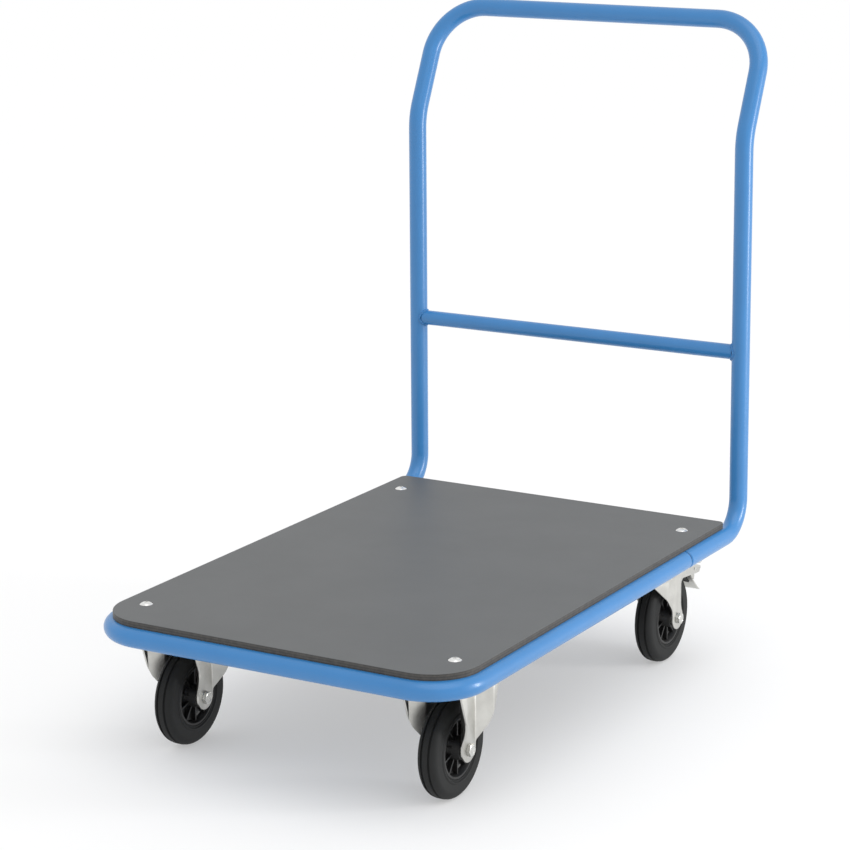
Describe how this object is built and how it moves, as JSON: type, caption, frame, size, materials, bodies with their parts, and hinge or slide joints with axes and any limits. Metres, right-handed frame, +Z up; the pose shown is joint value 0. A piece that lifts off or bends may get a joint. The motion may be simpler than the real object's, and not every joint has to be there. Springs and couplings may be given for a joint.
{
  "type": "platform cart",
  "caption": "Four-wheeled platform cart: bent-tube frame, flat deck board, tall push handle with a crossbar, two fixed casters and two braked swivel casters.",
  "frame": {"origin": "on the floor, under the middle of the whole cart", "axes": "+Y towards the handle end, +Z up, +X to the right-hand side"},
  "size_m": [0.642, 1.075, 1.053],
  "materials": {
    "frame_paint": "blue powder coat, satin",
    "deck": "anthracite laminate on board, matt",
    "zinc": "bright zinc plated",
    "bright_steel": "plain steel",
    "tyre": "solid black rubber",
    "rim": "black moulded plastic",
    "shoe": "hard black rubber"
  },
  "bodies": {
    "frame": {"caster_bolts": "zinc", "cross_member_1": "frame_paint", "cross_member_2": "frame_paint", "cross_member_3": "frame_paint", "cross_member_4": "frame_paint", "deck_board": "deck", "deck_bolt_nuts": "zinc", "deck_bolts": "zinc", "fixed_axle_bolts": "zinc", "fixed_axle_nuts": "zinc", "fixed_axle_sleeves": "bright_steel", "fixed_bracket_left": "zinc", "fixed_bracket_right": "zinc", "fixed_spacer_rings": "zinc", "front_frame_tube": "frame_paint", "handle_crossbar": "frame_paint", "handle_tube": "frame_paint", "joint_spigots": "bright_steel", "king_bolts": "zinc", "king_nuts": "zinc", "plate_washers": "zinc", "rivet_nuts": "zinc", "spigot_screws": "zinc", "swivel_plate_left": "zinc", "swivel_plate_right": "zinc"},
    "swivel_left": {"brake_pin_left": "zinc", "race_balls_left": "bright_steel", "swivel_axle_bolt_left": "zinc", "swivel_axle_nut_left": "zinc", "swivel_axle_sleeve_left": "bright_steel", "swivel_fork_left": "zinc", "swivel_spacer_rings_left": "zinc"},
    "brake_left": {"brake_lever_left": "zinc", "brake_shoe_left": "shoe"},
    "wheel_front_left": {"roller_bearing_front_left": "bright_steel", "tyre_front_left": "tyre", "wheel_rim_front_left": "rim"},
    "wheel_rear_left": {"roller_bearing_rear_left": "bright_steel", "tyre_rear_left": "tyre", "wheel_rim_rear_left": "rim"},
    "swivel_right": {"brake_pin_right": "zinc", "race_balls_right": "bright_steel", "swivel_axle_bolt_right": "zinc", "swivel_axle_nut_right": "zinc", "swivel_axle_sleeve_right": "bright_steel", "swivel_fork_right": "zinc", "swivel_spacer_rings_right": "zinc"},
    "brake_right": {"brake_lever_right": "zinc", "brake_shoe_right": "shoe"},
    "wheel_front_right": {"roller_bearing_front_right": "bright_steel", "tyre_front_right": "tyre", "wheel_rim_front_right": "rim"},
    "wheel_rear_right": {"roller_bearing_rear_right": "bright_steel", "tyre_rear_right": "tyre", "wheel_rim_rear_right": "rim"}
  },
  "joints": [
    {"name": "front_wheel_spin_left", "type": "hinge", "parent": "frame", "child": "wheel_front_left", "pos_m": [-0.2285, -0.391, 0.076], "axis": [1, 0, 0], "continuous": true},
    {"name": "swivel_turn_left", "type": "hinge", "parent": "frame", "child": "swivel_left", "pos_m": [-0.2285, 0.2505, 0.17], "axis": [0, 0, 1], "continuous": true},
    {"name": "rear_wheel_spin_left", "type": "hinge", "parent": "swivel_left", "child": "wheel_rear_left", "pos_m": [-0.2285, 0.308, 0.076], "axis": [1, 0, 0], "continuous": true},
    {"name": "brake_press_left", "type": "hinge", "parent": "swivel_left", "child": "brake_left", "pos_m": [-0.2285, 0.374, 0.143], "axis": [-1, 0, 0], "range_deg": [0, 14]},
    {"name": "front_wheel_spin_right", "type": "hinge", "parent": "frame", "child": "wheel_front_right", "pos_m": [0.2285, -0.391, 0.076], "axis": [1, 0, 0], "continuous": true},
    {"name": "swivel_turn_right", "type": "hinge", "parent": "frame", "child": "swivel_right", "pos_m": [0.2285, 0.2505, 0.17], "axis": [0, 0, 1], "continuous": true},
    {"name": "rear_wheel_spin_right", "type": "hinge", "parent": "swivel_right", "child": "wheel_rear_right", "pos_m": [0.2285, 0.308, 0.076], "axis": [1, 0, 0], "continuous": true},
    {"name": "brake_press_right", "type": "hinge", "parent": "swivel_right", "child": "brake_right", "pos_m": [0.2285, 0.374, 0.143], "axis": [-1, 0, 0], "range_deg": [0, 14]}
  ]
}
